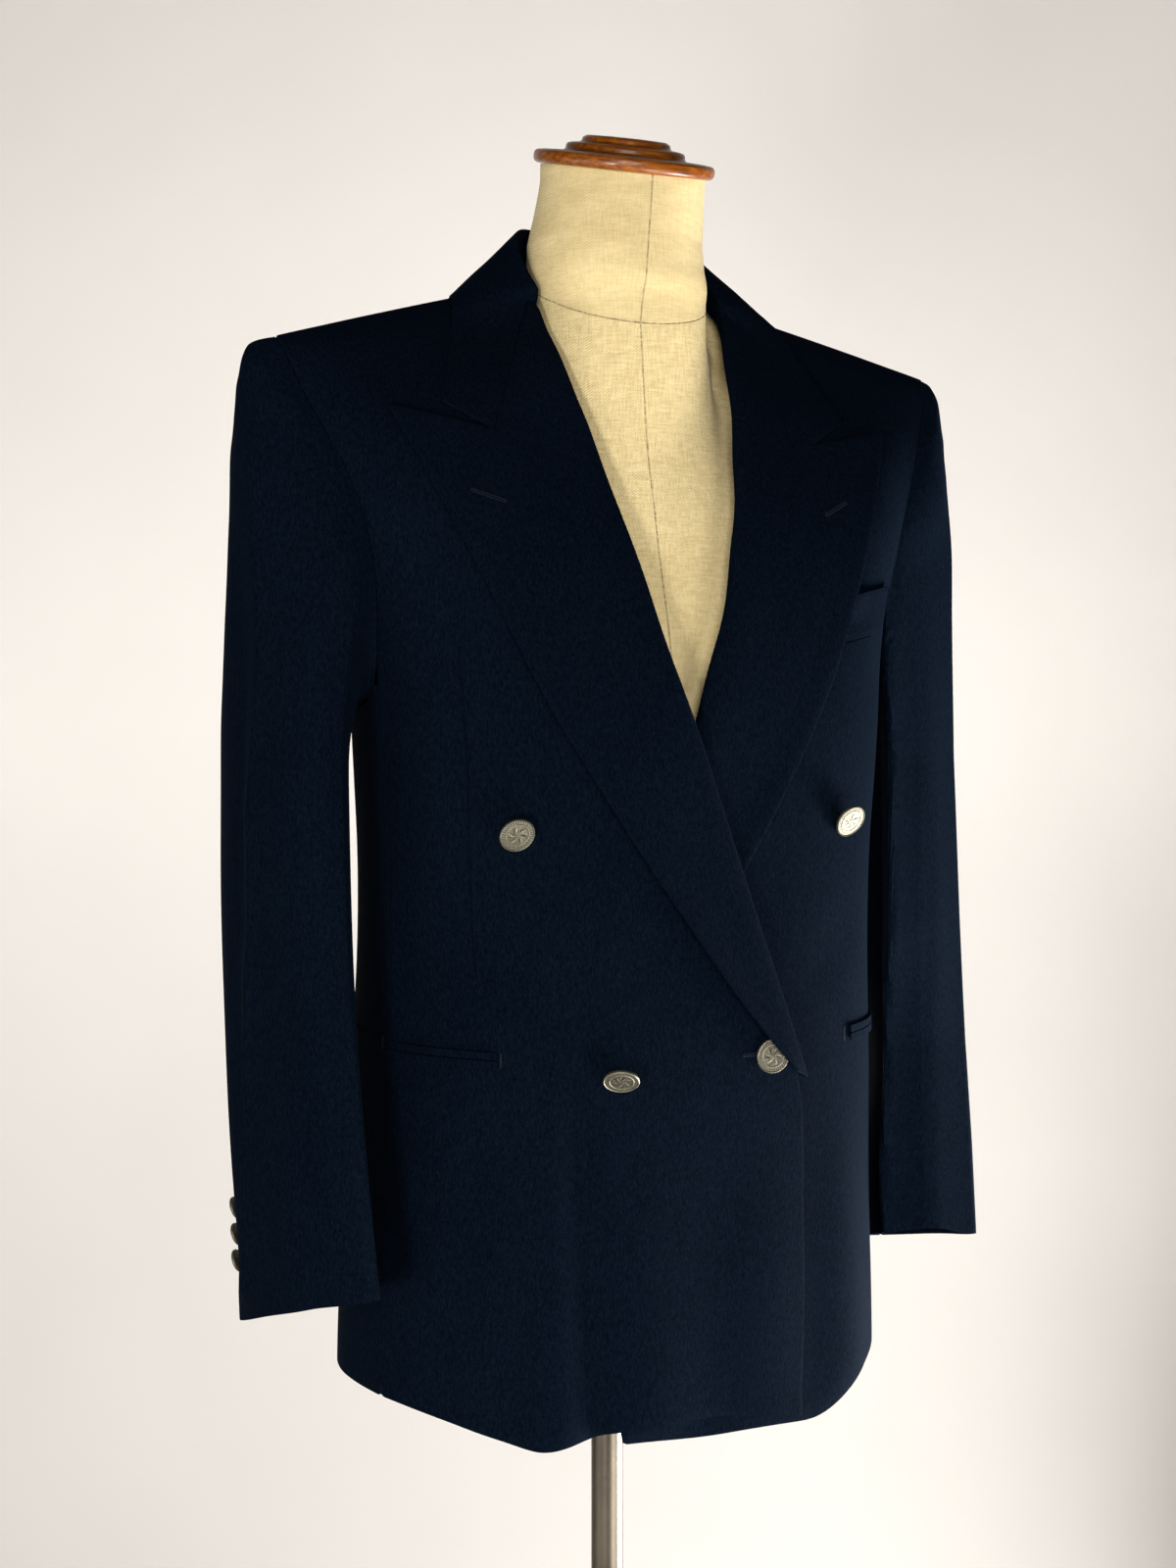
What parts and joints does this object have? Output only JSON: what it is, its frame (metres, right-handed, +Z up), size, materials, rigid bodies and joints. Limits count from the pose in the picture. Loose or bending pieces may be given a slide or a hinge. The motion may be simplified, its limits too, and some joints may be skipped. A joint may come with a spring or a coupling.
{
  "type": "double breasted blazer on a tailor's dress form",
  "caption": "Tailored double breasted jacket with peak lapels, welted breast pocket and jetted hip pockets, worn by a limbless linen dress form with a turned wooden neck cap on a pole stand",
  "frame": {"origin": "Middle of the stand base's underside, on the floor under the pole", "axes": "+Z up along the pole; the jacket faces -Y; the wearer's left side is +X"},
  "size_m": [0.5391, 0.38, 1.6218],
  "materials": {
    "navy_wool": "matt fine crepe wool",
    "natural_linen": "unbleached plain linen",
    "varnished_wood": "reddish brown varnish, satin to gloss",
    "brushed_steel": "brushed",
    "aged_silver": "aged silver, dark in the hollows"
  },
  "bodies": {
    "root": {"back_left": "navy_wool", "back_right": "navy_wool", "breast_welt": "navy_wool", "collar": "navy_wool", "cuff_button_left_1": "aged_silver", "cuff_button_left_2": "aged_silver", "cuff_button_left_3": "aged_silver", "cuff_button_right_1": "aged_silver", "cuff_button_right_2": "aged_silver", "cuff_button_right_3": "aged_silver", "form_torso": "natural_linen", "front_button_1": "aged_silver", "front_button_2": "aged_silver", "front_button_3": "aged_silver", "front_button_4": "aged_silver", "front_left": "navy_wool", "front_right": "navy_wool", "lapel_left": "navy_wool", "lapel_right": "navy_wool", "neck_cap": "varnished_wood", "pocket_jet_lower_left": "navy_wool", "pocket_jet_lower_right": "navy_wool", "pocket_jet_upper_left": "navy_wool", "pocket_jet_upper_right": "navy_wool", "pole": "brushed_steel", "side_left": "navy_wool", "side_right": "navy_wool", "stand_base": "brushed_steel", "top_sleeve_left": "navy_wool", "top_sleeve_right": "navy_wool", "under_sleeve_left": "navy_wool", "under_sleeve_right": "navy_wool"}
  },
  "joints": []
}
